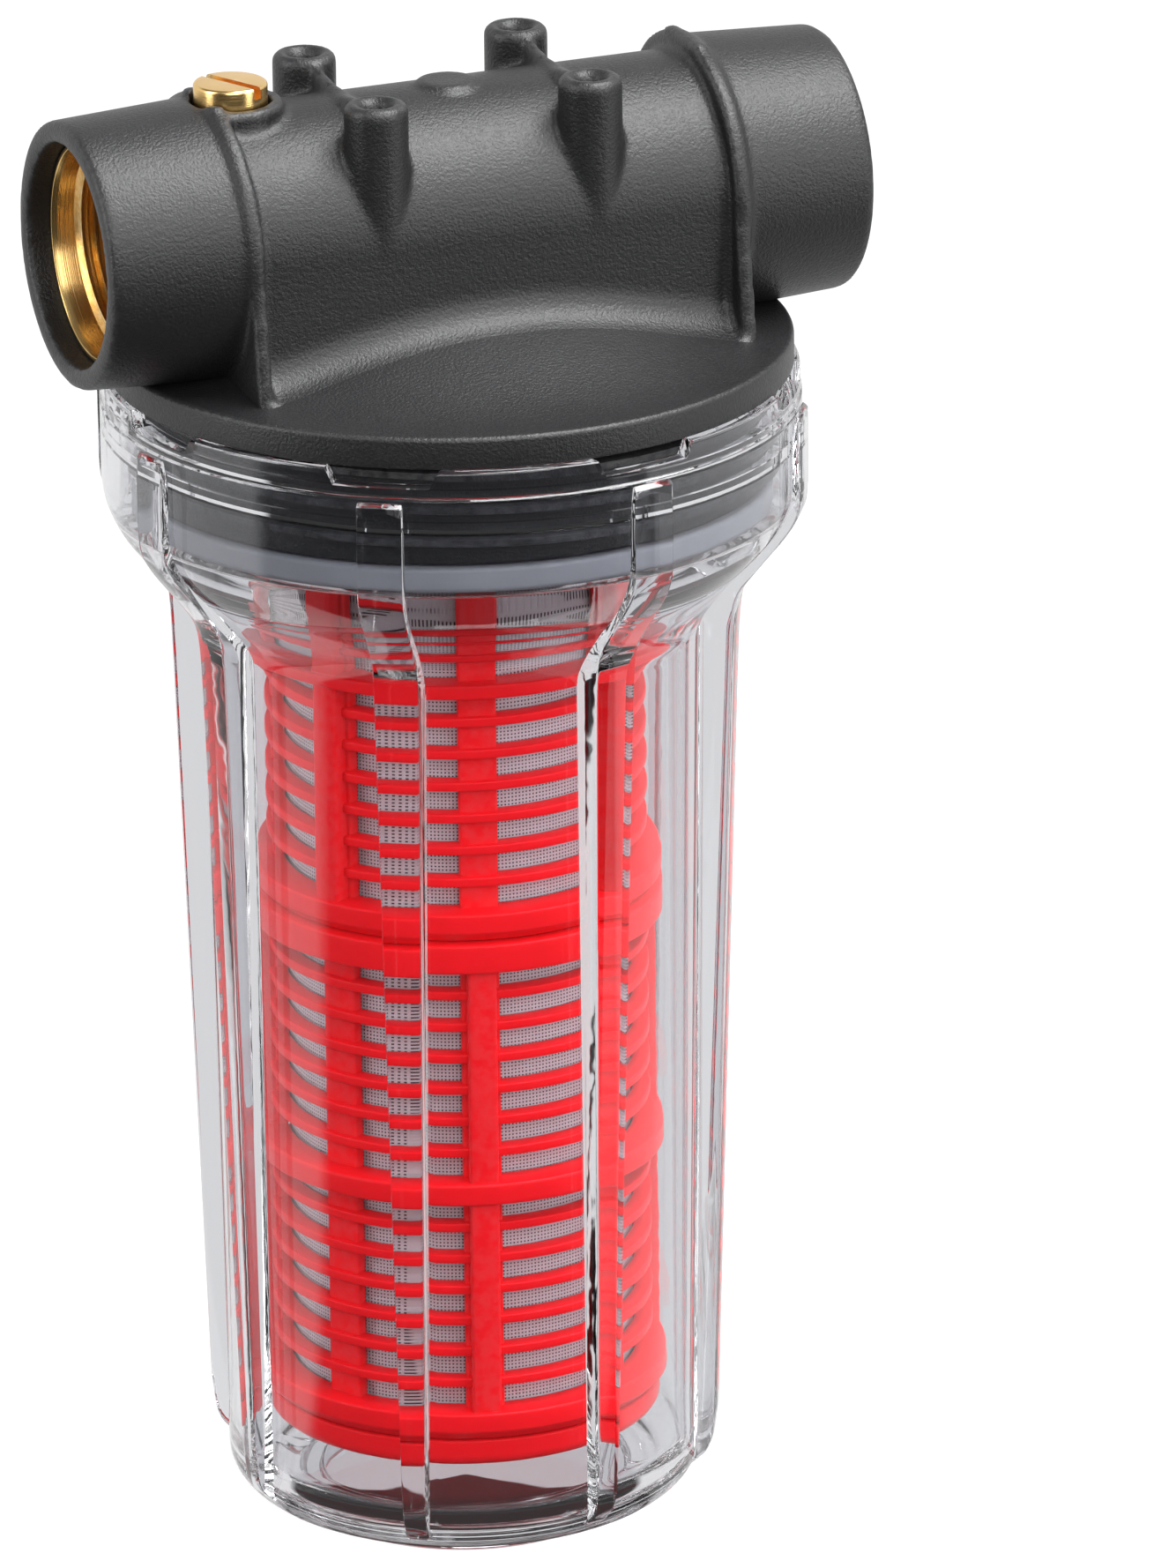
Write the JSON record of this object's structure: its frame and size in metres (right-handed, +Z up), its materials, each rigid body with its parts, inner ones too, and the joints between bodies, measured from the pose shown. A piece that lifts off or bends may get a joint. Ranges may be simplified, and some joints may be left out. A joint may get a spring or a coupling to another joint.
{
  "type": "in-line water filter",
  "caption": "In-line water pre-filter: black head with threaded brass ports and vent screw, clear ribbed screw-on bowl and a washable red mesh cartridge.",
  "frame": {"origin": "centre of the bowl's foot ring, on the surface it stands on", "axes": "+Z up along the bowl, +X along the pipe towards the outlet port"},
  "size_m": [0.1324, 0.1164, 0.2516],
  "materials": {
    "black_plastic": "fine grained moulding, satin",
    "brass": "turned",
    "clear_plastic": "clear gloss moulding",
    "red_plastic": "satin moulding",
    "mesh": "fine woven sieve",
    "black_rubber": "matt",
    "white_rubber": "translucent satin"
  },
  "bodies": {
    "head": {"head": "black_plastic", "inlet_insert": "brass", "outlet_insert": "brass"},
    "cartridge": {"cartridge_top_seal": "black_rubber", "cartridge_upper_frame": "red_plastic", "cartridge_upper_mesh": "mesh", "cartridge_joint_seal": "black_rubber", "cartridge_lower_frame": "red_plastic", "cartridge_lower_mesh": "mesh", "cartridge_cap": "red_plastic"},
    "bowl": {"bowl": "clear_plastic", "bowl_seal": "white_rubber"},
    "vent_seal": {"vent_seal": "black_rubber"},
    "vent_screw": {"vent_screw": "brass"}
  },
  "joints": [
    {"name": "bowl_travel", "type": "slide", "parent": "head", "child": "cartridge", "axis": [0, 0, -1], "range_m": [0, 0.0135]},
    {"name": "bowl_unscrew", "type": "hinge", "parent": "cartridge", "child": "bowl", "pos_m": [0, 0, 0.19], "axis": [0, 0, -1], "range_deg": [0, 900]},
    {"name": "vent_lift", "type": "slide", "parent": "head", "child": "vent_seal", "axis": [0, 0, 1], "range_m": [0, 0.00375]},
    {"name": "vent_unscrew", "type": "hinge", "parent": "vent_seal", "child": "vent_screw", "pos_m": [-0.0374, 0, 0.25], "axis": [0, 0, 1], "range_deg": [0, 1080]}
  ],
  "couplings": [
    {"joint": "bowl_travel", "follows": "bowl_unscrew", "m_per_rad": 0.00085944},
    {"joint": "vent_lift", "follows": "vent_unscrew", "m_per_rad": 0.00019894}
  ]
}
